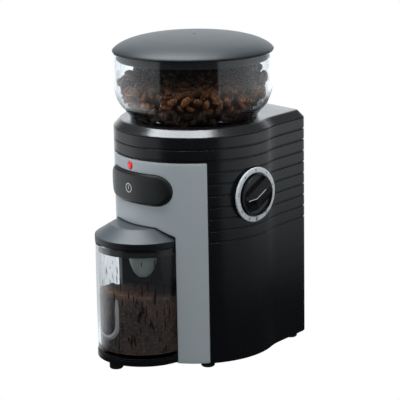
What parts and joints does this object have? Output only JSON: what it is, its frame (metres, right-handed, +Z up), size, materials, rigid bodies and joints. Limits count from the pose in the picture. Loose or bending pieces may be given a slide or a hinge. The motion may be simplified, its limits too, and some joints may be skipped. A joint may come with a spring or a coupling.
{
  "type": "burr coffee grinder",
  "caption": "Countertop burr coffee grinder with a clear bean hopper on top, a timer dial on its side, a push button and a pull-out grounds bin.",
  "frame": {"origin": "centre of the footprint's box, on the table under the feet", "axes": "+Z up, -Y towards the front with the bin, +X towards the side with the timer dial"},
  "size_m": [0.1404, 0.177, 0.2614],
  "materials": {
    "body_black": "satin moulded plastic",
    "cover_black": "satin moulded plastic",
    "panel_silver": "satin metallic paint on moulded plastic",
    "button_charcoal": "fine satin",
    "lid_slate": "satin tinted plastic",
    "cap_slate": "satin plastic",
    "funnel_grey": "translucent soft plastic",
    "clear_plastic": "clear moulded plastic",
    "ring_silver": "satin silver plastic",
    "knob_black": "satin plastic",
    "mark_white": "printed white",
    "lens_red": "tinted lens",
    "rubber_black": "matt rubber",
    "steel": "turned steel",
    "bronze": "sintered bronze",
    "white_plastic": "natural plastic",
    "board_green": "circuit board",
    "inner_grey": "moulded plastic"
  },
  "bodies": {
    "housing": {"main_housing": "body_black", "top_cover": "cover_black", "front_panel": "panel_silver", "base_plate": "body_black", "base_screws": "steel", "rubber_feet": "rubber_black", "bin_bay": "body_black", "circuit_board": "board_green", "board_screws": "steel", "power_switch": "inner_grey", "indicator_lens": "lens_red", "indicator_led": "inner_grey", "dial_ring": "ring_silver", "timer_module": "inner_grey", "timer_nut": "steel", "bin_switch": "inner_grey", "cord_gland": "rubber_black", "motor": "steel", "motor_end_cap": "white_plastic", "gearbox_lower": "inner_grey", "gearbox_upper": "inner_grey", "gearbox_screws": "steel", "lower_bush": "bronze", "upper_bush": "bronze", "grind_chamber": "inner_grey", "grounds_chute": "inner_grey", "chamber_screws": "steel", "idler_axle": "steel", "button_springs": "steel", "bin_switch_spring": "steel"},
    "spindle": {"main_shaft": "steel", "cone_burr": "steel", "burr_bolt": "steel", "impeller": "white_plastic", "output_gear": "white_plastic"},
    "idler": {"idler_gear": "white_plastic", "idler_pinion": "white_plastic"},
    "motor_rotor": {"motor_shaft": "steel", "motor_pinion": "bronze"},
    "adjuster": {"adjust_ring": "inner_grey", "hopper_seal": "rubber_black"},
    "outer_burr": {"burr_carrier": "inner_grey", "ring_burr": "steel", "burr_screws": "steel"},
    "hopper": {"hopper_bowl": "clear_plastic"},
    "lid": {"hopper_lid": "lid_slate", "lid_gasket": "rubber_black"},
    "bin": {"bin_container": "clear_plastic", "bin_cap": "cap_slate", "cap_funnel": "funnel_grey"},
    "button": {"power_button": "button_charcoal"},
    "timer": {"timer_knob": "knob_black", "knob_pointer": "mark_white", "timer_shaft": "steel"},
    "bin_sensor": {"bin_switch_plunger": "white_plastic"}
  },
  "joints": [
    {"name": "spindle_spin", "type": "hinge", "parent": "housing", "child": "spindle", "pos_m": [-0.00524, 0.00473, 0.15], "axis": [0, 0, 1], "continuous": true},
    {"name": "idler_spin", "type": "hinge", "parent": "housing", "child": "idler", "pos_m": [-0.02923, 0.01916, 0.132], "axis": [0, 0, 1], "continuous": true},
    {"name": "motor_spin", "type": "hinge", "parent": "housing", "child": "motor_rotor", "pos_m": [-0.00524, 0.01873, 0.12], "axis": [0, 0, 1], "continuous": true},
    {"name": "grind_adjust", "type": "hinge", "parent": "housing", "child": "adjuster", "pos_m": [-0.00524, 0.00473, 0.188], "axis": [0, 0, 1], "range_deg": [-50, 50]},
    {"name": "burr_height", "type": "slide", "parent": "housing", "child": "outer_burr", "axis": [0, 0, 1], "range_m": [-0.00055, 0.00055]},
    {"name": "hopper_lift", "type": "slide", "parent": "adjuster", "child": "hopper", "axis": [0, 0, 1], "range_m": [0, 0.08]},
    {"name": "lid_lift", "type": "slide", "parent": "hopper", "child": "lid", "axis": [0, 0, 1], "range_m": [0, 0.06]},
    {"name": "bin_slide", "type": "slide", "parent": "housing", "child": "bin", "axis": [0, -1, 0], "range_m": [0, 0.095]},
    {"name": "button_press", "type": "slide", "parent": "housing", "child": "button", "axis": [0, 1, 0], "range_m": [0, 0.0015], "stiffness_N_per_m": 800, "springref_m": -0.001, "deforming": ["button_springs"]},
    {"name": "timer_turn", "type": "hinge", "parent": "housing", "child": "timer", "pos_m": [0.06239, 0.01184, 0.1395], "axis": [0.9945, 0.1045, 0], "range_deg": [-240, 60]},
    {"name": "sensor_press", "type": "slide", "parent": "housing", "child": "bin_sensor", "axis": [0, 1, 0], "range_m": [0, 0.002], "stiffness_N_per_m": 200, "springref_m": -0.001, "deforming": ["bin_switch_spring"]}
  ],
  "couplings": [
    {"joint": "idler_spin", "follows": "spindle_spin", "ratio": -4},
    {"joint": "motor_spin", "follows": "spindle_spin", "ratio": 16},
    {"joint": "burr_height", "follows": "grind_adjust", "m_per_rad": 0.00057}
  ]
}
